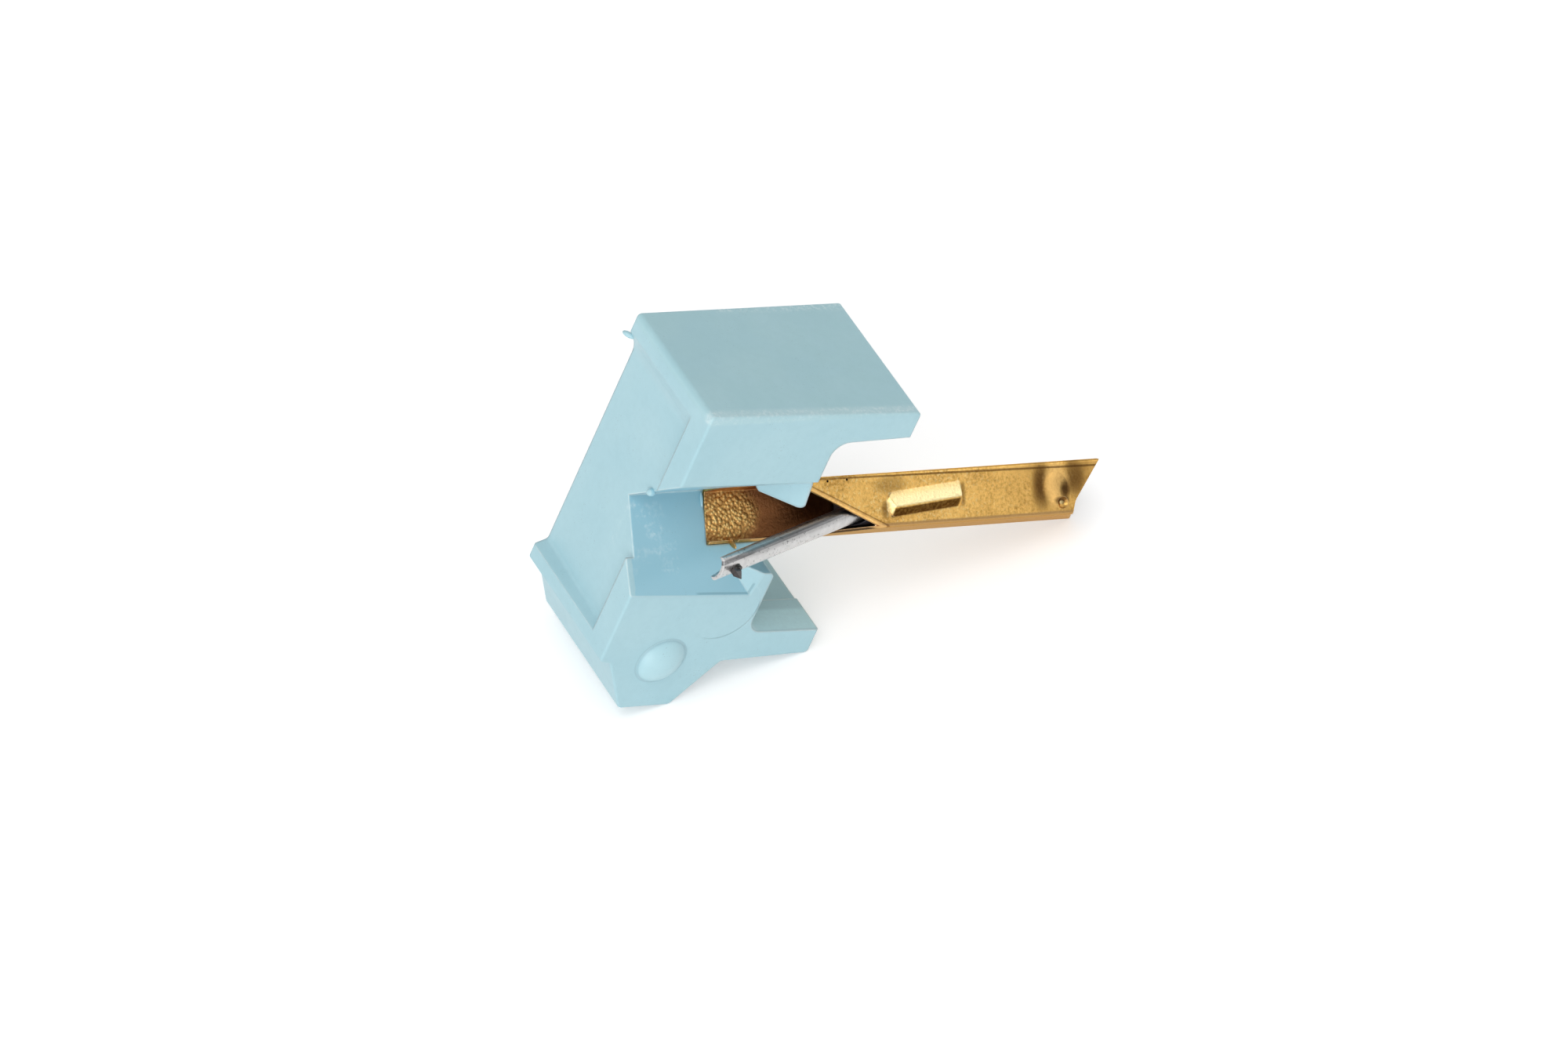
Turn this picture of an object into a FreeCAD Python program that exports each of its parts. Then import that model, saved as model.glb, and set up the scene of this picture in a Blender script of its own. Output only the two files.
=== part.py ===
"""Replacement stylus for a record player's pickup cartridge.

A moulded finger grip holds a four-sided stem folded from thin gilt sheet. The stem plugs into the
cartridge. In its mouth an elastomer bearing carries the cantilever, a thin tube with a bar magnet
in its rear end and a pointed diamond under its flattened nose.

The pieces are drawn in the frame of use: x runs back along the stem from the grip's front, y runs
out to the side that has the finger flange, z runs up, away from the record, from the grip's record
face. At the end they are laid down on the flange side, as the stylus comes to rest on a table.
"""
import FreeCAD, Part
import math
import os

V = FreeCAD.Vector

# Grip: side plates
grip_length = 7.95
front_height = 4.9
rear_height = 5.2
record_flare = 0.06
plain_front_reach = 5.14
plain_rear_reach = 4.86
flange_side_front_reach = 5.31
flange_side_rear_reach = 5.05
plate_front_wall = 1.45
plate_rear_wall = 0.9
plate_step_height = 1.4
plate_step = 0.07
plate_corner_radius = 0.15
grip_edge_radius = 0.07

# Grip: finger flange on one side
flange_reach = 6.87
flange_front_x = 1.54
flange_rear_x = 3.44
flange_foot_x = 4.68
flange_corner_radius = 0.22

# Grip: front face, a panel set back between two ribs and a rim on the record side
panel_rim_height = 0.9
panel_depth_low = 0.3
panel_depth_high = 0.46
panel_plain_edge = 3.8
panel_flange_edge = 4.08
plain_rib_edge = 4.44
flange_rib_inner_edge = 4.26
flange_rib_outer_edge = 4.8
flange_rib_step = 0.42
flange_rib_flare = 0.1
panel_corner_radius = 0.14
panel_ramp_radius = 0.9

# Grip: web between the plates, with the groove that the stem lies in
web_height = 3.1
web_rear_x = 5.17
web_corner_radius = 0.55
front_wall = 1.9
groove_depth = 2.33
groove_plain_front = 2.36
groove_plain_rear = 2.2
groove_flange_front = 2.07
groove_flange_rear = 2.44
slot_plain_edge = 1.06
slot_flange_edge = 1.5
slot_tip_radius = 0.2
shelf_x = 5.0
shelf_angle = 40.5
shelf_skew = 0.164
seat_gap = 0.01
ejector_x = 3.94
ejector_y = 2.93
ejector_radius = 1.2
ejector_depth = 0.008

# Grip: locating button on the record face
button_x = 2.32
button_y = 4.91
button_radius = 0.86
button_height = 0.4
button_root = 0.17

# Stem: folded four-sided tube, standing on a corner
stem_half_width = 1.29
stem_half_height = 1.12
stem_axis_z = 1.2
stem_wall = 0.08
stem_fold_radius = 0.1
stem_front_x = 3.12
stem_rear_x = 17.3
mouth_top_x = 5.28
mouth_bottom_x = 8.88
lip_below_ridge = 0.14
lip_length = 0.88
lip_notch = 0.2
lip_notch_width = 0.08
lip_spike = 0.1
lip_spike_width = 0.12
tongue_trim = 0.5
tail_notch_x = 16.28
tail_notch_depth = 0.84
tail_heel = 0.12
tail_notch_radius = 0.4

# Stem: rib pressed out of one lower wall, and the pinch near the rear end
rib_front_x = 8.88
rib_length = 2.9
rib_across = 0.8
rib_half_width = 0.4
rib_height = 0.22
rib_crest_drop = 0.09
rib_crest_radius = 0.12
rib_front_slope = 0.24
rib_rear_slope = 0.12
rib_front_radius = 0.36
rib_rear_radius = 0.1
rib_slant = 4.6
pinch_x = 15.48
pinch_across = 0.87
pinch_radius = 0.5
pinch_depth = 0.09
nick_x = 15.78
nick_across = 0.38
nick_radius = 0.2
nick_depth = 0.12

# Cantilever: drawn tube, squashed flat at the nose
cantilever_radius = 0.305
cantilever_bore = 0.225
cantilever_angle = 17.8
nose_x = 1.7
nose_drop = 1.19
nose_length = 1.5
nose_half_width = 0.44
nose_half_thickness = 0.19
nose_throat_half_width = 0.38
nose_throat_half_thickness = 0.26
nose_plate = 0.07
nose_lip = 0.06
nose_trough_length = 1.1
cantilever_tail = 1.0

# Diamond with its cement, and the magnet
diamond_setback = 0.62
diamond_width = 0.21
diamond_reach = 0.7
diamond_point = 0.24
diamond_tip_width = 0.02
diamond_fit = 0.004
cement_radius = 0.2
cement_tip_radius = 0.16
cement_height = 0.09
magnet_fit = 0.01
magnet_length = 1.7
magnet_tail = 1.42

# Bearing: elastomer block in the stem's mouth
bearing_gap = 0.09
bearing_front_x = 7.95
bearing_rear_x = 9.7
bearing_inset = 0.25
bearing_hole_gap = 0.05
lift_up = 5.0
lift_down = 1.5
lift_room = 0.6

# Places that follow from the sizes
stem_wall_length = math.hypot(stem_half_width, stem_half_height)
stem_wall_reach = stem_half_width * stem_half_height / stem_wall_length
stem_low_z = stem_axis_z - stem_half_height
nose_point = V(nose_x, 0, -nose_drop)
slope = math.radians(cantilever_angle)
cantilever_back = V(math.cos(slope), 0, math.sin(slope))
cantilever_down = V(math.sin(slope), 0, -math.cos(slope))
pivot_distance = (stem_axis_z + nose_drop) / math.sin(slope)
pivot = nose_point + cantilever_back * pivot_distance

# Cutting shapes run this much past the part, or right through it
past = 1.0
far = 30.0


def along(start, end, x):
    """Reach of a drafted plate at x, from its reach at the grip's front and rear."""
    return start + (end - start) * x / grip_length


def rounded_wire(corners):
    """Closed wire through (point, radius) corners, with an arc where the radius isn't zero."""
    count = len(corners)
    starts = []
    ends = []
    middles = []
    for i, (point, radius) in enumerate(corners):
        to_last = (corners[i - 1][0] - point).normalize()
        to_next = (corners[(i + 1) % count][0] - point).normalize()
        half_angle = to_last.getAngle(to_next) / 2
        setback = radius / math.tan(half_angle)
        bisector = (to_last + to_next).normalize()
        starts.append(point + to_last * setback)
        ends.append(point + to_next * setback)
        middles.append(point + bisector * (radius / math.sin(half_angle) - radius))
    edges = []
    for i, (point, radius) in enumerate(corners):
        if radius > 0:
            edges.append(Part.Arc(starts[i], middles[i], ends[i]).toShape())
        edges.append(Part.LineSegment(ends[i], starts[(i + 1) % count]).toShape())
    return Part.Wire(edges)


def plan_prism(corners, low, high):
    """Solid over an (x, y, radius) outline, from one height to another."""
    outline = rounded_wire([(V(x, y, low), radius) for x, y, radius in corners])
    return Part.Face(outline).extrude(V(0, 0, high - low))


def side_prism(corners, skew=0.0):
    """Solid over an (x, z, radius) outline, running across the part, askew where it leans forward."""
    outline = rounded_wire([(V(x + skew * far, -far, z), radius) for x, z, radius in corners])
    return Part.Face(outline).extrude(V(-2 * skew * far, 2 * far, 0))


def end_prism(corners, front, rear):
    """Solid over a (y, z, radius) outline, running back along x."""
    outline = rounded_wire([(V(front, y, z), radius) for y, z, radius in corners])
    return Part.Face(outline).extrude(V(rear - front, 0, 0))


def stem_bar(inset, fold_radius, front, rear):
    """Four-sided bar on the stem's axis, standing on a corner, its walls moved in by the inset."""
    share = 1 - inset / stem_wall_reach
    wide = stem_half_width * share
    high = stem_half_height * share
    corners = [(0, -high), (wide, 0), (0, high), (-wide, 0)]
    return end_prism([(y, stem_axis_z + rise, fold_radius) for y, rise in corners], front, rear)


def on_lower_wall(x, across, depth):
    """Point by the lower wall on the plain side: across is from its lower ridge, depth is into the stem."""
    flat = stem_half_width / stem_wall_length
    steep = stem_half_height / stem_wall_length
    return V(x, depth * steep - across * flat, stem_low_z + across * steep + depth * flat)


def cap_sphere(base_radius, height):
    """Radius of the ball whose cap has this base radius and height."""
    return (base_radius ** 2 + height ** 2) / (2 * height)


def make_grip():
    flange_foot_y = along(flange_side_front_reach, flange_side_rear_reach, flange_foot_x)
    outline = [
        (0, -plain_front_reach, plate_corner_radius),
        (grip_length, -plain_rear_reach, plate_corner_radius),
        (grip_length, flange_side_rear_reach, plate_corner_radius),
        (flange_foot_x, flange_foot_y, flange_corner_radius),
        (flange_rear_x, flange_reach, flange_corner_radius),
        (flange_front_x, flange_reach, flange_corner_radius),
        (flange_rib_step, flange_rib_outer_edge + flange_rib_flare, panel_corner_radius),
        (0, flange_rib_outer_edge, panel_corner_radius),
    ]
    body = plan_prism(outline, -far, far)
    profile = [(-far, 0), (0, 0), (grip_length, -record_flare), (far, -record_flare),
               (far, rear_height), (grip_length, rear_height), (0, front_height), (-far, front_height)]
    body = body.common(side_prism([(x, z, 0) for x, z in profile]))
    body = body.makeFillet(grip_edge_radius, rim_edges(body))
    body = body.cut(front_panel())
    body = body.cut(cartridge_room(web_height, far, front_wall, 0))
    body = body.cut(cartridge_room(plate_step_height, far, web_rear_x, 0))
    body = body.cut(cartridge_room(-far, plate_step_height, web_rear_x, plate_step))
    body = body.cut(stem_groove())
    body = body.cut(stem_bar(-seat_gap, stem_fold_radius, stem_front_x - seat_gap, far))
    body = body.cut(ejector_mark())
    return body.fuse(button()).removeSplitter()


def rim_edges(body):
    """Edges round the grip's outline on its record face and on its upper side."""
    middle = front_height / 2
    upright = 0.01
    edges = []
    for edge in body.Edges:
        heights = [vertex.Point.z - middle for vertex in edge.Vertexes]
        if len(heights) == 2 and heights[0] * heights[1] > 0:
            faces = body.ancestorsOfType(edge, Part.Face)
            if any(abs(face.normalAt(0, 0).z) < upright for face in faces):
                edges.append(edge)
    return edges


def front_panel():
    """Room in front of the set-back panel: it ramps up to the plain rib and steps up to the other."""
    wires = []
    for height, depth in ((panel_rim_height, panel_depth_low), (front_height, panel_depth_high)):
        corners = [(-past, -plain_rib_edge, 0), (0, -plain_rib_edge, 0),
                   (depth, -panel_plain_edge, panel_ramp_radius),
                   (depth, panel_flange_edge, panel_corner_radius),
                   (0, flange_rib_inner_edge, 0), (-past, flange_rib_inner_edge, 0)]
        wires.append(rounded_wire([(V(x, y, height), radius) for x, y, radius in corners]))
    room = Part.makeLoft(wires, True, True)
    above = Part.Face(wires[1]).extrude(V(0, 0, rear_height))
    return room.fuse(above)


def cartridge_room(low, high, front, narrowing):
    """Space between the side plates, from front to past the rear, for the cartridge's nose."""
    sides = []
    for start, end in ((plain_front_reach, plain_rear_reach),
                       (flange_side_front_reach, flange_side_rear_reach)):
        front_y = start - plate_front_wall - narrowing
        rear_y = end - plate_rear_wall - narrowing
        sides.append((along(front_y, rear_y, front), along(front_y, rear_y, 2 * grip_length)))
    (plain_front, plain_back), (flange_front, flange_back) = sides
    corners = [(front, -plain_front, web_corner_radius), (2 * grip_length, -plain_back, 0),
               (2 * grip_length, flange_back, 0), (front, flange_front, web_corner_radius)]
    return plan_prism(corners, low, high)


def groove_section(x):
    """Three-cornered outline of the groove at x; its edges on the record face aren't quite parallel."""
    down = 1 + past / groove_depth
    plain = groove_plain_front + (groove_plain_rear - groove_plain_front) * x / web_rear_x
    flange = groove_flange_front + (groove_flange_rear - groove_flange_front) * x / web_rear_x
    corners = [(-plain * down, -past), (flange * down, -past), (0, groove_depth)]
    return rounded_wire([(V(x, y, z), 0) for y, z in corners])


def stem_groove():
    """Three-cornered groove along the record face: wide in front, closed to a slot by two teeth behind."""
    groove = Part.makeLoft([groove_section(-past), groove_section(grip_length)], True, True)
    teeth_apart = [(-far, -slot_plain_edge, 0), (web_rear_x, -slot_plain_edge, slot_tip_radius),
                   (web_rear_x, -far, 0), (far, -far, 0), (far, far, 0), (web_rear_x, far, 0),
                   (web_rear_x, slot_flange_edge, slot_tip_radius), (-far, slot_flange_edge, 0)]
    slot = plan_prism(teeth_apart, -far, far)
    rise = math.tan(math.radians(shelf_angle))
    mouth = side_prism([(shelf_x - far, far * rise, 0), (shelf_x + far, -far * rise, 0),
                        (shelf_x - far, -far * rise, 0)], shelf_skew)
    return groove.common(slot.fuse(mouth))


def ejector_mark():
    """Shallow round print that the mould's ejector pin leaves on the record face."""
    floor_z = -record_flare * ejector_x / grip_length + ejector_depth
    return Part.makeCylinder(ejector_radius, past, V(ejector_x, ejector_y, floor_z), V(0, 0, -1))


def button():
    """Low domed button, with a root that sinks into the record face."""
    ball_radius = cap_sphere(button_radius, button_height)
    record_z = -record_flare * button_x / grip_length
    centre = V(button_x, button_y, record_z + ball_radius - button_height)
    root = math.degrees(math.asin((ball_radius - button_height - button_root) / ball_radius))
    return Part.makeSphere(ball_radius, centre, V(0, 0, -1), root, 90)


def make_stem():
    outer = stem_bar(0, stem_fold_radius, stem_front_x, stem_rear_x)
    inner = stem_bar(stem_wall, stem_fold_radius - stem_wall / 2, stem_front_x - past, stem_rear_x + past)
    outer = outer.fuse(pressed_rib(0))
    inner = inner.fuse(pressed_rib(stem_wall))
    for x, across, radius, depth in ((pinch_x, pinch_across, pinch_radius, pinch_depth),
                                     (nick_x, nick_across, nick_radius, nick_depth)):
        ball_radius = cap_sphere(radius, depth)
        centre = on_lower_wall(x, across, depth - ball_radius)
        outer = outer.cut(Part.makeSphere(ball_radius, centre))
        inner = inner.cut(Part.makeSphere(ball_radius + stem_wall, centre))
    tube = outer.cut(inner)
    return tube.cut(mouth_room()).cut(tail_room()).removeSplitter()


def wall_prism(corners, run):
    """Solid over an outline of (x, across, depth, radius) corners by the lower wall, drawn out along run."""
    points = [(on_lower_wall(x, across, depth), radius) for x, across, depth, radius in corners]
    return Part.Face(rounded_wire(points)).extrude(run)


def pressed_rib(wall):
    """Rib pressed out of the lower wall, with a wide slope above its crest and a steep one below.

    It is round in front and squarer behind; wall shrinks it to the inner face.
    """
    across_way = on_lower_wall(0, 1, 0) - on_lower_wall(0, 0, 0)
    inward = on_lower_wall(0, 0, 1) - on_lower_wall(0, 0, 0)
    front = rib_front_x + wall
    rear = rib_front_x + rib_length - wall
    low = rib_across - rib_half_width + wall
    high = rib_across + rib_half_width - wall
    top = wall - rib_height
    sink = 2 * stem_wall
    crest = rib_across - rib_crest_drop
    roof = [(front, high, 0, 0), (front, crest, top, rib_crest_radius), (front, low, 0, 0),
            (front, low, sink, 0), (front, high, sink, 0)]
    ends = [(front, low, 0, 0), (front + rib_front_slope, low, top, rib_crest_radius),
            (rear - rib_rear_slope, low, top, rib_rear_radius), (rear, low, 0, 0),
            (rear, low, sink, 0), (front, low, sink, 0)]
    plan = [(front, low, top, rib_front_radius - wall), (rear, low, top, rib_rear_radius),
            (rear, high, top, rib_rear_radius), (front, high, top, rib_front_radius - wall)]
    rib = wall_prism(roof, V(rear - front, 0, 0))
    rib = rib.common(wall_prism(ends, across_way * (high - low)))
    rib = rib.common(wall_prism(plan, inward * (sink - top)))
    rib.rotate(on_lower_wall(rib_front_x + rib_length / 2, rib_across, 0), -inward, rib_slant)
    return rib


def mouth_room():
    """Space cut out below the tongue: a torn lip in front, an oblique mouth behind."""
    lip_z = stem_axis_z - lip_below_ridge
    lip_end = mouth_top_x + (mouth_bottom_x - mouth_top_x) * lip_below_ridge / stem_half_height
    notch_front = stem_front_x + lip_length
    notch_z = lip_z + lip_notch
    spike_front = notch_front + lip_notch_width
    corners = [
        (-past, lip_z),
        (notch_front, lip_z),
        (notch_front, notch_z),
        (spike_front, notch_z),
        (spike_front + lip_spike_width / 2, lip_z - lip_spike),
        (spike_front + lip_spike_width, lip_z),
        (lip_end, lip_z),
        (mouth_bottom_x, stem_low_z),
        (mouth_bottom_x, -far),
        (-past, -far),
    ]
    room = side_prism([(x, z, 0) for x, z in corners])
    trim_z = stem_axis_z + tongue_trim
    plain_side = Part.makeBox(mouth_top_x + past, far, far, V(-past, -far, trim_z - far))
    return room.fuse(plain_side)


def tail_room():
    """Space behind the rear end, cut slantwise so that the side ridges run furthest back."""
    heel_x = tail_notch_x - tail_heel
    room = None
    for way in (-1, 1):
        corners = [(stem_rear_x, 0, 0), (tail_notch_x, tail_notch_depth, tail_notch_radius),
                   (heel_x, stem_half_height, 0), (heel_x, far, 0), (far, far, 0), (far, 0, 0)]
        notch = side_prism([(x, stem_axis_z + way * rise, radius) for x, rise, radius in corners])
        room = notch if room is None else room.fuse(notch)
    return room


def along_cantilever(distance):
    """Point on the cantilever's axis, by distance back from the nose's end."""
    return nose_point + cantilever_back * distance


def oval(distance, half_width, half_thickness, rise=0.0):
    """Cross-section of the cantilever's nose, wide across the part, raised off the axis by the rise."""
    centre = along_cantilever(distance) - cantilever_down * rise
    curve = Part.Ellipse(centre + V(0, half_width, 0), centre + cantilever_down * half_thickness, centre)
    return Part.Wire(curve.toShape())


def ring(distance, radius):
    """Round cross-section of the cantilever's tube, started on the same side as the nose's ovals."""
    circle = Part.Circle(along_cantilever(distance), cantilever_back, radius)
    circle.XAxis = V(0, 1, 0)
    return Part.Wire(circle.toShape())


def make_cantilever():
    length = pivot_distance + cantilever_tail - nose_length
    tube = Part.Face(ring(nose_length, cantilever_radius)).extrude(cantilever_back * length)
    bore = Part.Face(ring(nose_length, cantilever_bore)).extrude(cantilever_back * (length + past))
    sections = [oval(0, nose_half_width, nose_half_thickness),
                oval(nose_length / 2, nose_throat_half_width, nose_throat_half_thickness),
                ring(nose_length, cantilever_radius)]
    nose = Part.makeLoft(sections, True, False)
    cantilever = tube.cut(bore).fuse(nose).cut(nose_trough())
    return cantilever.cut(diamond_shank(diamond_fit)).removeSplitter()


def nose_trough():
    """Hollow that leaves the nose a thin plate with its side edges curled up, and runs out behind."""
    wires = [oval(distance, nose_half_width - nose_lip, nose_half_thickness, rise)
             for distance, rise in ((-nose_plate, nose_plate), (nose_trough_length, nose_half_width))]
    return Part.makeLoft(wires, True, True)


def diamond_seat():
    """Point on the nose's centre plane where the diamond stands."""
    return along_cantilever(diamond_setback)


def diamond_shank(gap):
    """Square shank through the nose, down towards the record."""
    seat = diamond_seat()
    half = diamond_width / 2 + gap
    top = nose_throat_half_thickness
    length = top + diamond_reach - diamond_point + gap
    return Part.makeBox(2 * half, 2 * half, length, seat + V(-half, -half, top - length))


def make_diamond():
    seat = diamond_seat()
    shoulder = seat.z - diamond_reach + diamond_point
    wires = []
    for width, z in ((diamond_width, shoulder), (diamond_tip_width, shoulder - diamond_point)):
        half = width / 2
        corners = [(-half, -half), (half, -half), (half, half), (-half, half)]
        wires.append(rounded_wire([(V(seat.x + x, y, z), 0) for x, y in corners]))
    return diamond_shank(0).fuse(Part.makeLoft(wires, True, True)).removeSplitter()


def make_cement(cantilever, diamond):
    """Collar of set cement round the diamond, on the underside of the nose."""
    seat = diamond_seat()
    height = nose_throat_half_thickness + cement_height
    cone = Part.makeCone(cement_radius, cement_tip_radius, height, seat, cantilever_down)
    collar = cone.cut(cantilever).cut(diamond)
    return max(collar.Solids, key=lambda solid: solid.Volume)


def make_magnet():
    start = along_cantilever(pivot_distance + magnet_tail - magnet_length)
    return Part.makeCylinder(cantilever_bore - magnet_fit, magnet_length, start, cantilever_back)


def make_bearing():
    block = stem_bar(stem_wall + bearing_gap, stem_fold_radius, bearing_front_x, bearing_rear_x)
    fall = stem_half_height / (mouth_bottom_x - mouth_top_x)
    back = bearing_inset * math.sqrt(1 + 1 / fall ** 2)
    front = bearing_front_x - past
    rear = mouth_bottom_x + back + past
    front_face = [(front, stem_axis_z - fall * (front - mouth_top_x - back)),
                  (rear, stem_axis_z - fall * (rear - mouth_top_x - back)), (rear, -far), (front, -far)]
    block = block.cut(side_prism([(x, z, 0) for x, z in front_face]))
    radius = cantilever_radius + bearing_hole_gap
    for turn in (-lift_down - lift_room, 0, lift_up + lift_room):
        angle = slope - math.radians(turn)
        back_along = V(math.cos(angle), 0, math.sin(angle))
        start = pivot - back_along * pivot_distance
        block = block.cut(Part.makeCylinder(radius, 2 * pivot_distance, start, back_along))
    return block.removeSplitter()


def rest_tilt():
    """Angle of the table under the flange side: it touches the flange and the plate or the stem."""
    fold_loss = stem_fold_radius * (stem_wall_length / stem_half_height - 1)
    stem_side_reach = stem_half_width - fold_loss
    plate = math.atan2(flange_reach - flange_side_rear_reach, grip_length - flange_rear_x)
    stem = math.atan2(flange_reach - stem_side_reach, stem_rear_x - flange_rear_x)
    return math.degrees(min(plate, stem))


def laid_down(shape):
    """The piece turned onto its flange side and tipped until it lies on the table."""
    lying = shape.copy()
    lying.rotate(V(0, 0, 0), V(1, 0, 0), -90)
    lying.rotate(V(0, 0, 0), V(0, 1, 0), rest_tilt())
    return lying


cantilever = make_cantilever()
diamond = make_diamond()
pieces = {
    "grip": make_grip(),
    "stem": make_stem(),
    "bearing": make_bearing(),
    "cantilever": cantilever,
    "magnet": make_magnet(),
    "diamond": diamond,
    "tip_cement": make_cement(cantilever, diamond),
}

# The lying part stands on the table plane, with its origin under the middle of its box
lying = {name: laid_down(shape) for name, shape in pieces.items()}
box = Part.makeCompound(list(lying.values())).optimalBoundingBox(False)
shift = V(-box.Center.x, -box.Center.y, -box.ZMin)

os.makedirs("parts", exist_ok=True)
for name, shape in lying.items():
    shape.translate(shift)
    shape.exportStep("parts/" + name + ".step")
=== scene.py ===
import math

import bmesh
import bpy
from mathutils import Matrix, Vector


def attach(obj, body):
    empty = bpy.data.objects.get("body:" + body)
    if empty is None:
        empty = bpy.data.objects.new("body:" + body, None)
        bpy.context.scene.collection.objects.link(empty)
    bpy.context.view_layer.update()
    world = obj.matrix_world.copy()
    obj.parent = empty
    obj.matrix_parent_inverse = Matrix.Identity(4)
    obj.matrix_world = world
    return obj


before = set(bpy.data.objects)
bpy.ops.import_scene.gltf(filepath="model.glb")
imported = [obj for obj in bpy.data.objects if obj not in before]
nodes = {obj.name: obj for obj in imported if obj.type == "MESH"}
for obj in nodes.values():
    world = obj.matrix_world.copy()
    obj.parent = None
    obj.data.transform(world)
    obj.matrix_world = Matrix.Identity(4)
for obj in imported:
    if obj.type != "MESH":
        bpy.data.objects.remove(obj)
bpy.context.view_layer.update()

scene = bpy.context.scene
scene.view_settings.view_transform = "Standard"

# Camera: a long macro lens, looking down on the stylus from its nose side.
# It stands about a quarter of a metre off, and its picture is level to within two degrees.
to_camera = Vector((-0.32981, -0.58418, 0.74159))
picture_right = Vector((0.88348, -0.46782, 0.02439))
aim = Vector((-0.003603, -0.003046, 0.008202))
camera_distance = 0.24365
camera_data = bpy.data.cameras.new("camera")
camera_data.lens = 184.5
camera_data.sensor_width = 36
camera_data.clip_start = 0.01
camera = bpy.data.objects.new("camera", camera_data)
picture_up = to_camera.cross(picture_right)
turn = Matrix((picture_right, picture_up, to_camera)).transposed()
camera.matrix_world = Matrix.Translation(aim + to_camera * camera_distance) @ turn.to_4x4()
scene.collection.objects.link(camera)
scene.camera = camera

# Table and light: a white table in a room that is dim low down and in front, and lighter above and behind.
# A broad soft lamp stands low on the left and one hangs above.
# Two small ones on the right show in the metal.
floor_white = (0.9, 0.9, 0.9, 1)
floor_glow = 0.33


class Shade:
    """A socket in a shader: sums written with it add their Math nodes."""

    def __init__(self, tree, socket=None):
        self.tree = tree
        self.socket = socket

    def node(self, kind, settings={}, sockets={}, out=0):
        """Add any node: its settings first, then the values or links of its sockets."""
        made = self.tree.nodes.new(kind)
        for name, value in settings.items():
            setattr(made, name, value)
        for name, value in sockets.items():
            if isinstance(value, Shade):
                self.tree.links.new(value.socket, made.inputs[name])
            else:
                made.inputs[name].default_value = value
        return Shade(self.tree, made.outputs[out]) if made.outputs else None

    def math(self, operation, first, second=0.0):
        return self.node("ShaderNodeMath", {"operation": operation}, {0: first, 1: second})

    def __add__(self, other):
        return self.math("ADD", self, other)

    def __radd__(self, other):
        return self.math("ADD", other, self)

    def __sub__(self, other):
        return self.math("SUBTRACT", self, other)

    def __rsub__(self, other):
        return self.math("SUBTRACT", other, self)

    def __mul__(self, other):
        return self.math("MULTIPLY", self, other)

    def __rmul__(self, other):
        return self.math("MULTIPLY", other, self)

    def step(self, low, high):
        """0 below low, 1 above high, smooth between."""
        return self.node("ShaderNodeMapRange", {"interpolation_type": "SMOOTHSTEP"},
                         {"Value": self, "From Min": low, "From Max": high})

    def mix(self, first, second):
        """A colour: first where this is 0, second where it is 1."""
        return self.node("ShaderNodeMix", {"data_type": "RGBA"}, {0: self, 6: first, 7: second}, 2)

    def within(self, low, high, soft):
        """1 between low and high, falling to 0 over soft on either side."""
        return self.step(low - soft, low) * (1 - self.step(high, high + soft))


bpy.ops.mesh.primitive_plane_add(size=3)
floor = bpy.context.object
floor.name = "table"
paper = bpy.data.materials.new("table_white")
paper.use_nodes = True
paper.node_tree.nodes.clear()
sheet = Shade(paper.node_tree)
seen = sheet.node("ShaderNodeLightPath", {}, {}, "Is Camera Ray") \
    + 0.8 * sheet.node("ShaderNodeLightPath", {}, {}, "Is Glossy Ray")
matt = sheet.node("ShaderNodeBsdfDiffuse", {}, {"Color": floor_white})
shine = seen.mix((0, 0, 0, 1), (1, 1, 1, 1))
glow = sheet.node("ShaderNodeEmission", {}, {"Color": shine, "Strength": floor_glow})
both = sheet.node("ShaderNodeAddShader", {}, {0: matt, 1: glow})
sheet.node("ShaderNodeOutputMaterial", {}, {"Surface": both})
floor.data.materials.append(paper)

world = bpy.data.worlds.new("studio")
scene.world = world
world.use_nodes = True
world.node_tree.nodes.clear()
room = Shade(world.node_tree)
looking = room.node("ShaderNodeTexCoord")
behind = room.node("ShaderNodeSeparateXYZ", {}, {0: looking}, "Y").step(-0.8, 0.6)
above = room.node("ShaderNodeSeparateXYZ", {}, {0: looking}, "Z").step(0.0, 0.5)
level = 0.24 + 0.07 * above + 0.22 * behind
walls = room.node("ShaderNodeBackground", {}, {"Color": level.mix((0, 0, 0, 1), (1, 1, 1, 1))})
room.node("ShaderNodeOutputWorld", {}, {"Surface": walls})

lamp_distance = 0.6
for name, way, width, height, watts in (("left_lamp", (-0.65, -0.74, 0.16), 0.5, 0.4, 2.2),
                                        ("top_lamp", (-0.35, -0.25, 0.9), 0.4, 0.4, 1.3),
                                        ("right_lamp", (0.84, -0.08, 0.53), 0.3, 0.25, 0.4),
                                        ("low_right_lamp", (0.78, -0.58, 0.28), 0.3, 0.16, 0.17)):
    lamp_data = bpy.data.lights.new(name, "AREA")
    lamp_data.shape = "RECTANGLE"
    lamp_data.size = width
    lamp_data.size_y = height
    lamp_data.energy = watts
    lamp = bpy.data.objects.new(name, lamp_data)
    lamp.location = Vector(way).normalized() * lamp_distance
    lamp.rotation_euler = Vector(way).to_track_quat("Z", "Y").to_euler()
    scene.collection.objects.link(lamp)

# Grip: pale blue plastic, injection moulded in one piece with a satin skin.
# Its edges are lighter, partly from wear and partly a painted sheen, and its skin has small specks.
# The groove is scuffed where the stem went in.
rest_tilt = math.radians(21.976)
rest_shift = Vector((-7.370, -1.748, 7.632))
way_back = Vector((math.cos(rest_tilt), 0, -math.sin(rest_tilt)))
way_out = Vector((-math.sin(rest_tilt), 0, -math.cos(rest_tilt)))
way_up = Vector((0, 1, 0))
button_x = 2.32
button_y = 4.91


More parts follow.
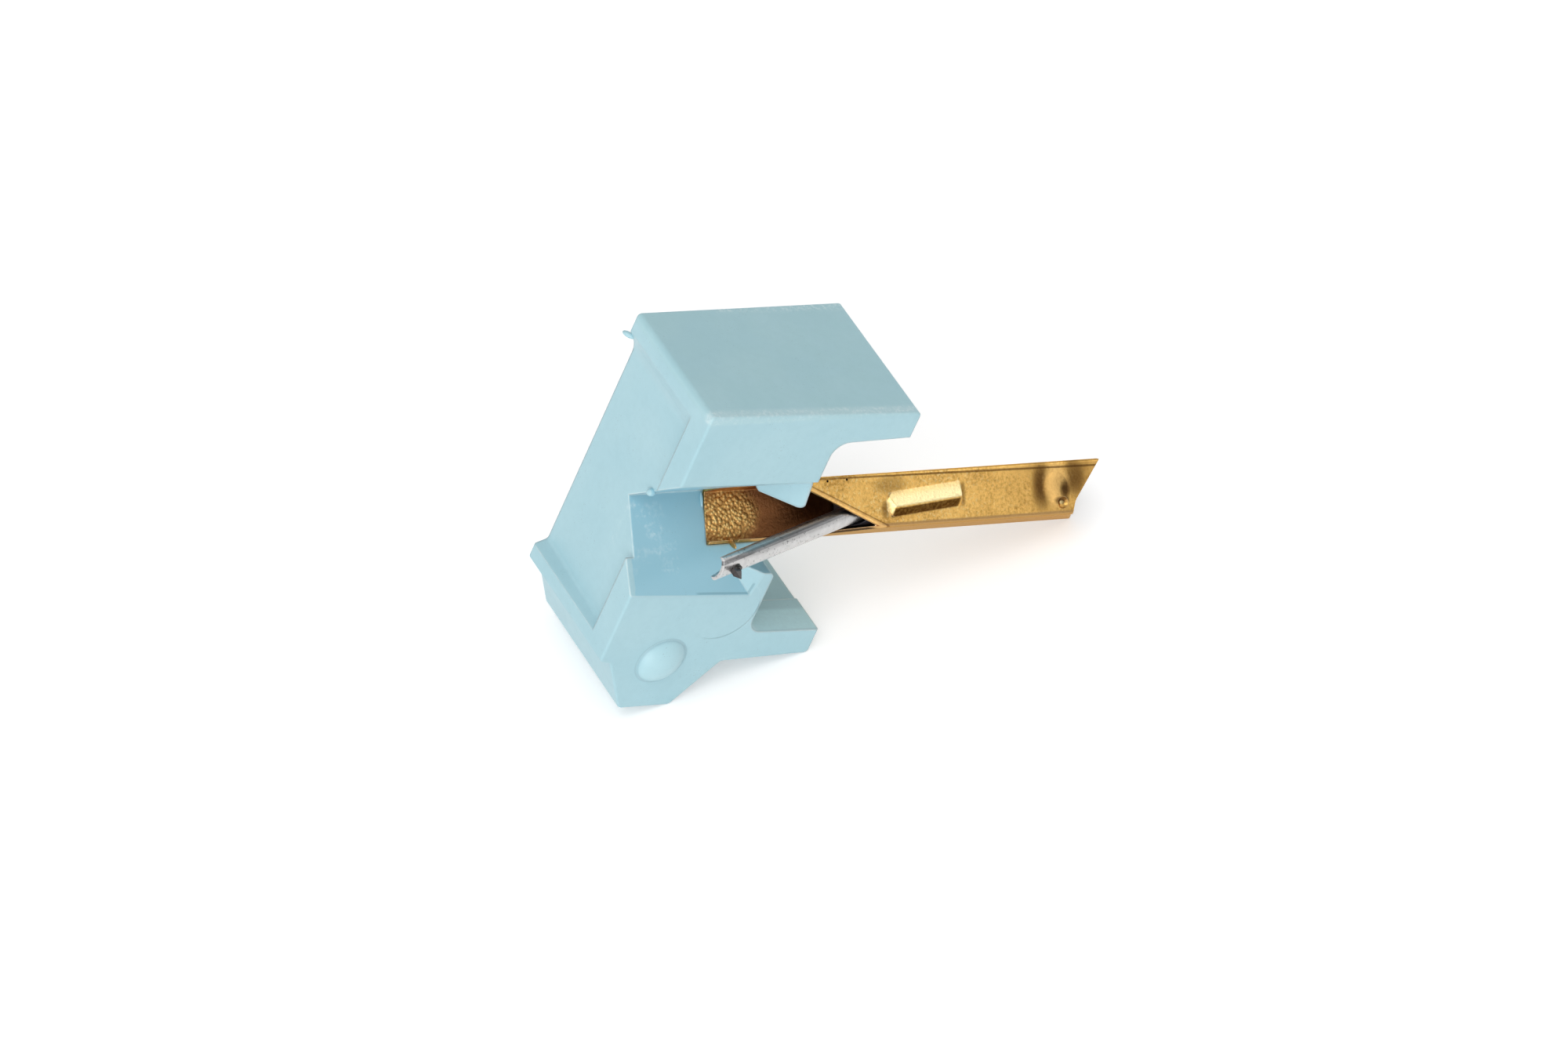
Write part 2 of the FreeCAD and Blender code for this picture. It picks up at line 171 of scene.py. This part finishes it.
def surface(name):
    """A fresh material, its shader, the place in millimetres, and x back, y out and z up in use."""
    made = bpy.data.materials.new(name)
    made.use_nodes = True
    shader = made.node_tree.nodes["Principled BSDF"]
    place = Shade(made.node_tree).node("ShaderNodeTexCoord", {}, {}, "Object")
    place = place.node("ShaderNodeVectorMath", {"operation": "SCALE"}, {0: place, "Scale": 1000.0})
    moved = place.node("ShaderNodeVectorMath", {"operation": "SUBTRACT"}, {0: place, 1: rest_shift})
    used = [place.node("ShaderNodeVectorMath", {"operation": "DOT_PRODUCT"}, {0: moved, 1: axis}, "Value")
            for axis in (way_back, way_out, way_up)]
    return made, shader, place, used


def put(shader, **values):
    """Set the shader's sockets: numbers as they are, what varies by a link."""
    for name, value in values.items():
        socket = shader.inputs[name.replace("_", " ").title().replace("Ior", "IOR")]
        if isinstance(value, Shade):
            value.tree.links.new(value.socket, socket)
        else:
            socket.default_value = value


def grain(place, size, detail=2.0, rough=0.5):
    """Even noise, 0 to 1, with spots about this many millimetres across."""
    return place.node("ShaderNodeTexNoise", {}, {"Vector": place, "Scale": 1 / size, "Detail": detail,
                                                 "Roughness": rough})


def relief(height, depth, normal):
    """Normal that a height of 0 to 1 gives, for a depth in millimetres, over another normal."""
    return height.node("ShaderNodeBump", {}, {"Height": height, "Distance": depth / 1000, "Normal": normal})


def facing(place, way):
    """How far the surface faces this way: 1 straight at it, 0 edge on."""
    flat = place.node("ShaderNodeNewGeometry", {}, {}, "Normal")
    return place.node("ShaderNodeVectorMath", {"operation": "DOT_PRODUCT"}, {0: flat, 1: way}, "Value")


def rounded(place, radius):
    """Normal with the edges rounded to this radius in millimetres, and how far an edge bends it."""
    normal = place.node("ShaderNodeBevel", {"samples": 8}, {"Radius": radius / 1000})
    return normal, (1 - facing(place, normal)).step(0.01, 0.2)


def dress(node, made):
    """Give a solid its finish."""
    nodes[node].data.materials.clear()
    nodes[node].data.materials.append(made)


blue, shader, place, (x, y, z) = surface("grip_blue")
normal, edge_wear_and_sheen = rounded(place, 0.12)
drift = grain(place, 2.5).step(0.3, 0.7)
colour = drift.mix((0.405, 0.64, 0.71, 1), (0.435, 0.665, 0.73, 1))
ahead = facing(place, -way_back)
mottle = grain(place, 0.3, 4.0, 0.7).step(0.35, 0.7)
colour = (0.3 * mottle).mix(colour, (0.365, 0.59, 0.655, 1))
# The groove is painted darker and bluer than the rest: painted shade and blue bounce light in the hollow.
groove_shade = (1 - ahead.step(0.4, 0.6)) * y.within(-2.3, 2.4, 0.05) * z.within(0.03, 2.6, 0.03) \
    * (x + 0.2 * grain(place, 0.5, 3.0)).within(0.36, 5.2, 0.06)
colour = (0.85 * groove_shade).mix(colour, (0.305, 0.575, 0.69, 1))
# The inside of the flange-side plate is painted darker under the other plate: painted shade.
shaded_inner_wall = y.within(3.6, 4.4, 0.1) * x.step(5.2, 5.4) * z.step(0.0, 0.06)
colour = (0.2 * shaded_inner_wall).mix(colour, (0.35, 0.6, 0.63, 1))
# Lower down near its foot it is painted lighter, with some random mottle: painted light.
lit_inner_foot = shaded_inner_wall * (1 - z.step(0.85, 1.05))
colour = (lit_inner_foot * (0.35 + 0.5 * grain(place, 0.14, 3.0))).mix(colour, (0.56, 0.86, 0.92, 1))
from_button = (x - button_x) * (x - button_x) + (y - button_y) * (y - button_y)
off_button = x.math("SQRT", from_button)
# The button's cap is painted lighter: painted light on its dome.
lit_cap = (1 - z.step(-0.06, -0.02)) * (1 - off_button.step(0.7, 0.85))
colour = (0.5 * lit_cap).mix(colour, (0.5, 0.75, 0.81, 1))
# A dark ring round the button's foot is painted shade.
root_shade = (1 - z.step(0.02, 0.06)) * off_button.within(0.84, 0.88, 0.06)
colour = (0.5 * root_shade).mix(colour, (0.27, 0.46, 0.53, 1))
scuffs = grain(place, 0.22, 4.0, 0.7).step(0.45, 0.75) * grain(place, 0.8).step(0.4, 0.65)
scuffed = x.within(0.3, 1.9, 0.3) * y.within(0.2, 1.6, 0.3) * z.within(0.6, 2.1, 0.2)
colour = (0.45 * scuffs * scuffed).mix(colour, (0.78, 0.88, 0.9, 1))
# A dark line along the groove's edge, just above the record face, is painted shade.
edge_shade_line = x.within(2.7, 4.75, 0.25) * y.within(2.0, 2.6, 0.1) * z.within(0.03, 0.06, 0.02)
colour = (0.45 * edge_shade_line).mix(colour, (0.12, 0.28, 0.34, 1))
specks = grain(place, 0.045, 0.0).step(0.76, 0.8) * grain(place, 0.9).step(0.5, 0.6)
colour = (0.35 * specks).mix(colour, (0.2, 0.32, 0.36, 1))
plain_face = 1 - y.step(-4.9, -4.75)
streak = grain(place, 0.13, 4.0, 0.7).step(0.45, 0.66)
# Lighter streaks near the plain face's lower and top edges: partly rubbed wear, partly painted highlight.
rubbed_and_highlit = plain_face * z.within(0.1, 0.2, 0.22) * (0.35 + 0.65 * streak)
rubbed_and_highlit = rubbed_and_highlit + plain_face * z.step(4.7, 5.0) * x.within(3.2, 7.6, 0.8) * streak
colour = (0.5 * plain_face * grain(place, 1.1, 3.0)).mix(colour, (0.39, 0.63, 0.65, 1))
colour = (0.6 * rubbed_and_highlit).mix(colour, (0.72, 0.86, 0.88, 1))
chafed = grain(place, 0.6, 3.0).step(0.35, 0.75)
# Edges are painted lighter: partly wear, partly a painted sheen on the rounded edges.
colour = (edge_wear_and_sheen * (0.5 + 0.5 * chafed)).mix(colour, (0.74, 0.9, 0.93, 1))
skin = grain(place, 0.06, 3.0)
put(shader, base_color=colour, roughness=0.28 + 0.14 * grain(place, 0.7),
    normal=relief(skin, 0.0012, normal))
dress("grip", blue)

# Moulding marks: two small lumps of flash left on the grip's edges by the mould.
# The shaving was raised from the groove when the stem was pushed in.
marks = (("flash_lump", (0.3, -0.92, 1.40), (0, 0.7, -0.7), (0.15, 0.15, 0.13)),
         ("gate_lump", (0.1, -4.18, 4.97), (-0.6, 0, 0.8), (0.09, 0.1, 0.22)),
         ("shaving", (3.03, 0.19, 2.08), (0, 0.72, -0.69), (0.05, 0.05, 0.25)))


def lump(name, centre, way, half_sizes, made):
    """A small oval body on the holder, its long axis along way; places as the stylus is used."""
    ball = bmesh.new()
    bmesh.ops.create_icosphere(ball, subdivisions=4, radius=1.0)
    turn = Vector(way).to_track_quat("Z", "Y").to_matrix()
    for corner in ball.verts:
        used = Vector(centre) + turn @ Vector(a * b for a, b in zip(corner.co, half_sizes))
        corner.co = (rest_shift + way_back * used.x + way_out * used.y + way_up * used.z) / 1000
    mesh = bpy.data.meshes.new(name)
    ball.to_mesh(mesh)
    ball.free()
    mesh.shade_smooth()
    mesh.materials.append(made)
    body = bpy.data.objects.new(name, mesh)
    scene.collection.objects.link(body)
    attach(body, "holder")


for name, centre, way, half_sizes in marks:
    lump(name, centre, way, half_sizes, blue)

# Stem: thin gilt sheet, folded into a four-sided tube and pressed. Its outer skin is sandy, with painted
# glints for its sparkle.
# The tongue inside the groove is browner and looks hammered, with a painted pool of light in its middle,
# and the sheared edges show coppery metal.
stem_half_width = 1.29
stem_half_height = 1.12
stem_axis_z = 1.2
wall_length = math.hypot(stem_half_width, stem_half_height)
flat_share = stem_half_width / wall_length
steep_share = stem_half_height / wall_length
mouth_front = Vector((5.28, 1.2))
mouth_rear = Vector((8.88, 0.08))
mouth_way = (mouth_rear - mouth_front).normalized()
rib_middle = 10.33
rib_across = 0.8
rib_rise = math.tan(math.radians(4.6))
pin_holes = ((6.65, 1.55), (7.39, 1.56))
pinch_x = 15.48
pinch_across = 0.87
tongue_x = 3.9
tongue_rise = 0.85
lump_size = 0.115

gilt, shader, place, (x, y, z) = surface("stem_gilt")
normal, edge_wear_and_sheen = rounded(place, 0.05)
across = (z - (stem_axis_z - stem_half_height)) * steep_share - y * flat_share
section = y.math("ABSOLUTE", y) * (1 / stem_half_width) \
    + z.math("ABSOLUTE", z - stem_axis_z) * (1 / stem_half_height)
inside = (1 - section.step(0.92, 0.945)) * (1 - x.step(8.9, 9.2))
outside = 1 - inside
depth = (z - (stem_axis_z - stem_half_height)) * flat_share + y * steep_share
near_wall = outside * (1 - depth.step(0.25, 0.4))
gold_pale = (1.0, 0.78, 0.36, 1)
gold_deep = (0.38, 0.2, 0.05, 1)
brown = (0.085, 0.033, 0.009, 1)
sand = grain(place, 0.1, 3.0, 0.65)
cloud = grain(place, 1.3, 3.0)
# Small bright specks on the outer skin are painted glints.
glint_specks = grain(place, 0.09, 1.0).step(0.56, 0.7) * (1 - 0.7 * x.step(11.5, 13.5))
colour = (0.6 * cloud + 0.7 * sand).step(0.52, 1.0).mix((1.0, 0.61, 0.175, 1), (0.4, 0.185, 0.033, 1))
colour = (0.5 * glint_specks).mix(colour, (1.0, 0.8, 0.38, 1))
rear = x.step(12.8, 16.0) * grain(place, 1.0, 2.0).step(0.25, 0.7)
colour = (0.75 * rear).mix(colour, gold_deep)
# The rib's lower flank is painted dark, its upper slope pale and its front end bright: painted reflections.
up_rib = across - rib_across - (x - rib_middle) * rib_rise
rib_flank_shade = up_rib.within(-0.37, -0.16, 0.07) * x.within(9.1, 11.6, 0.1) * near_wall
colour = (rib_flank_shade * (0.75 + 0.4 * sand)).mix(colour, (0.07, 0.029, 0.008, 1))
rib_slope_highlight = up_rib.within(-0.06, 0.36, 0.05) * x.within(8.98, 11.7, 0.06) * near_wall
colour = ((1 - 0.5 * up_rib.step(0.1, 0.36)) * rib_slope_highlight).mix(colour, (1.0, 0.85, 0.46, 1))
front_glint = x.within(8.9, 9.04, 0.06) * up_rib.within(-0.25, 0.15, 0.15) * near_wall
colour = (0.8 * front_glint).mix(colour, gold_pale)
# A dark patch past the rib's rear end is painted shade.
rib_shade = x.within(11.76, 11.86, 0.12) * up_rib.within(-0.3, 0.2, 0.2)
colour = (0.6 * rib_shade * near_wall).mix(colour, brown)


def spot(centre_x, centre_across, half_length, half_height):
    """1 at the middle of an oval on the stem's lower wall, fading to 0 at its rim."""
    far_x = (x - centre_x) * (1 / half_length)
    far_across = (across - centre_across) * (1 / half_height)
    return (1 - (far_x * far_x + far_across * far_across + 0.5 * (sand - 0.5)).step(0.0, 1.0)) * near_wall


# Brown patches above and below the rib's front end are painted shade.
rib_shade_spots = ((-1.3, 0.5, 0.8, 0.36, 0.4), (-1.5, -0.25, 0.2, 0.35, 0.6))
for back, above_it, half_length, half_height, strength in rib_shade_spots:
    mark = spot(rib_middle + back, rib_across + above_it, half_length, half_height)
    colour = (strength * mark).mix(colour, brown)
# Dark and bright patches round the pinch are painted shade and painted highlights in its dimple.
pinch_shade_and_highlight = ((-0.52, 0.1, 0.5, 0.95, 0.9, brown), (0.75, 0.3, 0.55, 0.8, 0.75, brown),
               (0.05, 0.1, 0.6, 0.9, 1.0, (1.0, 0.62, 0.21, 1)), (0.42, -0.1, 0.22, 0.4, 0.9, brown),
               (0.26, -0.42, 0.36, 0.16, 0.9, brown), (0.31, -0.48, 0.1, 0.07, 0.9, gold_pale))
for back, above_it, half_length, half_height, strength, tint in pinch_shade_and_highlight:
    mark = spot(pinch_x + back, pinch_across + above_it, half_length, half_height)
    colour = (strength * mark).mix(colour, tint)
# The lower wall underneath is painted a duller brown: painted shade.
low_wall_shade = 1 - across.step(0.10, 0.16)
colour = (low_wall_shade * outside).mix(colour, (0.52, 0.31, 0.12, 1))
# A dark line along the fold near the top ridge is painted shade in the crease.
fold_shade_line = (across + 0.0125 * (x - 7.0)).within(1.6, 1.64, 0.025)
colour = (0.7 * fold_shade_line * near_wall).mix(colour, brown)
# Two pin holes are painted as near-black spots: painted shade of holes the mesh does not have.
for hole_x, hole_across in pin_holes:
    colour = (2.0 * spot(hole_x, hole_across, 0.05, 0.05)).mix(colour, (0.02, 0.01, 0.006, 1))
sheared = (x - mouth_front.x) * -mouth_way.y + (z - mouth_front.y) * mouth_way.x
rim_dark = sheared.within(0.035, 0.055, 0.012)
rim_light = sheared.within(-0.02, 0.02, 0.012)
lower_half = (1 - z.step(1.22, 1.3)) * outside
colour = (0.6 * rim_dark * lower_half).mix(colour, (0.2, 0.08, 0.03, 1))
colour = (0.5 * rim_light * lower_half).mix(colour, (0.95, 0.58, 0.22, 1))
# The cut face at the rear end of the mouth is painted near black.
cut_face = facing(place, mouth_way.y * way_back - mouth_way.x * way_up)
darkened_cut_face = cut_face.step(0.95, 0.98) * y.step(0.05, 0.15) * x.step(6.6, 7.2)
colour = (0.92 * darkened_cut_face).mix(colour, (0.025, 0.02, 0.02, 1))
up_tongue = (stem_half_width - y) * flat_share + (z - stem_axis_z) * steep_share
lumps = 1 - place.node("ShaderNodeTexVoronoi", {"feature": "SMOOTH_F1"},
                       {"Vector": place, "Scale": 1 / lump_size, "Smoothness": 0.4}, "Distance")
far_x = x - tongue_x
far_up = up_tongue - tongue_rise
off_middle = far_x * far_x * (1 / 0.9) + far_up * far_up * (1 / 0.5)
# The tongue's middle is painted as a warm pool of light and given less metal: painted light.
middle = 1 - off_middle.step(0.0, 2.2)
tongue = middle.mix((0.36, 0.15, 0.058, 1), (1.0, 0.55, 0.16, 1))
# Its lumps get painted shade in their hollows and painted highlights on their tops.
tongue = ((0.15 + 0.35 * middle) * (1 - lumps.step(0.36, 0.58))).mix(tongue, (0.24, 0.09, 0.024, 1))
tongue = (middle * lumps.step(0.5, 0.72)).mix(tongue, (1.0, 0.68, 0.26, 1))
colour = inside.mix(colour, tongue)
# Edges are painted a paler gold: partly wear, partly a painted sheen.
colour = (0.55 * edge_wear_and_sheen).mix(colour, (1.0, 0.74, 0.4, 1))
dents = relief(cloud, 0.03, normal)
fine = relief(sand, 0.02, dents)
put(shader, base_color=colour, metallic=1 - 0.72 * (inside * middle),
    roughness=0.27 + 0.16 * grain(place, 0.1), specular_tint=(0.95, 0.72, 0.4, 1),
    normal=relief(lumps * inside * middle, 0.12, fine))
dress("stem", gilt)
lump("lip_burr", (3.93, 1.07, 0.97), (0.1, 0, -1), (0.1, 0.04, 0.24), gilt)

# Bearing: a block of dark elastomer, moulded, with a dull skin.
# It sits inside the stem's mouth and carries the cantilever.
elastomer, shader, place, _ = surface("bearing_rubber")
normal, edge_wear_and_sheen = rounded(place, 0.04)
colour = grain(place, 0.3).mix((0.028, 0.027, 0.034, 1), (0.05, 0.048, 0.06, 1))
colour = (0.5 * edge_wear_and_sheen).mix(colour, (0.12, 0.12, 0.14, 1))
put(shader, base_color=colour, roughness=0.5 + 0.2 * grain(place, 0.2),
    normal=relief(grain(place, 0.05), 0.004, normal))
dress("bearing", elastomer)

# Cantilever: thin drawn aluminium tube, its nose squashed flat to take the diamond.
# Handling has left it grey and pitted, with fine lines along the tube.
tube_slope = math.radians(17.8)
tube_radius = 0.305
nose_x = 1.7
nose_z = -1.19
drawn, shader, place, (x, y, z) = surface("cantilever_aluminium")
normal, edge_wear_and_sheen = rounded(place, 0.03)
rise = (z - nose_z) * math.cos(tube_slope) - (x - nose_x) * math.sin(tube_slope)
flank = (0.66 * rise - 0.75 * y) * (1 / tube_radius)
lines = place.node("ShaderNodeCombineXYZ", {}, {0: x * 0.3, 1: y * 9.0, 2: rise * 9.0})
lines = grain(lines, 0.6, 2.0)
pits = grain(place, 0.09, 1.0).step(0.62, 0.72)
colour = grain(place, 0.25, 3.0).mix((0.52, 0.515, 0.51, 1), (0.75, 0.745, 0.74, 1))
# A dark band along the tube's upper flank is a painted reflection.
colour = (0.9 * flank.within(0.35, 0.68, 0.12) * (0.5 + lines)).mix(colour, (0.19, 0.19, 0.195, 1))
colour = (0.6 * pits).mix(colour, (0.12, 0.12, 0.12, 1))
colour = (0.6 * edge_wear_and_sheen).mix(colour, (0.85, 0.85, 0.85, 1))
put(shader, base_color=colour, metallic=1.0, roughness=0.24 + 0.2 * grain(place, 0.12),
    normal=relief(grain(place, 0.07, 3.0), 0.005, relief(lines, 0.004, normal)))
dress("cantilever", drawn)

# Magnet: a short sintered bar, grey and a little rough.
# It is pushed into the rear of the tube, inside the stem.
alloy, shader, place, _ = surface("magnet_alloy")
colour = grain(place, 0.15).mix((0.2, 0.2, 0.21, 1), (0.3, 0.3, 0.31, 1))
put(shader, base_color=colour, metallic=1.0, roughness=0.4 + 0.2 * grain(place, 0.1))
dress("magnet", alloy)

# Diamond and its cement: a dark square shank, ground to a point.
# It is set through the cantilever's nose, with a small collar of cement round it.
point, shader, place, _ = surface("diamond_dark")
colour = grain(place, 0.1).mix((0.02, 0.018, 0.018, 1), (0.06, 0.05, 0.05, 1))
put(shader, base_color=colour, roughness=0.1 + 0.1 * grain(place, 0.08), ior=1.5)
dress("diamond", point)
glue, shader, place, _ = surface("tip_cement_grey")
colour = grain(place, 0.08).step(0.35, 0.65).mix((0.015, 0.014, 0.013, 1), (0.09, 0.085, 0.08, 1))
put(shader, base_color=colour, roughness=0.35 + 0.2 * grain(place, 0.06), specular_ior_level=0.15)
dress("tip_cement", glue)
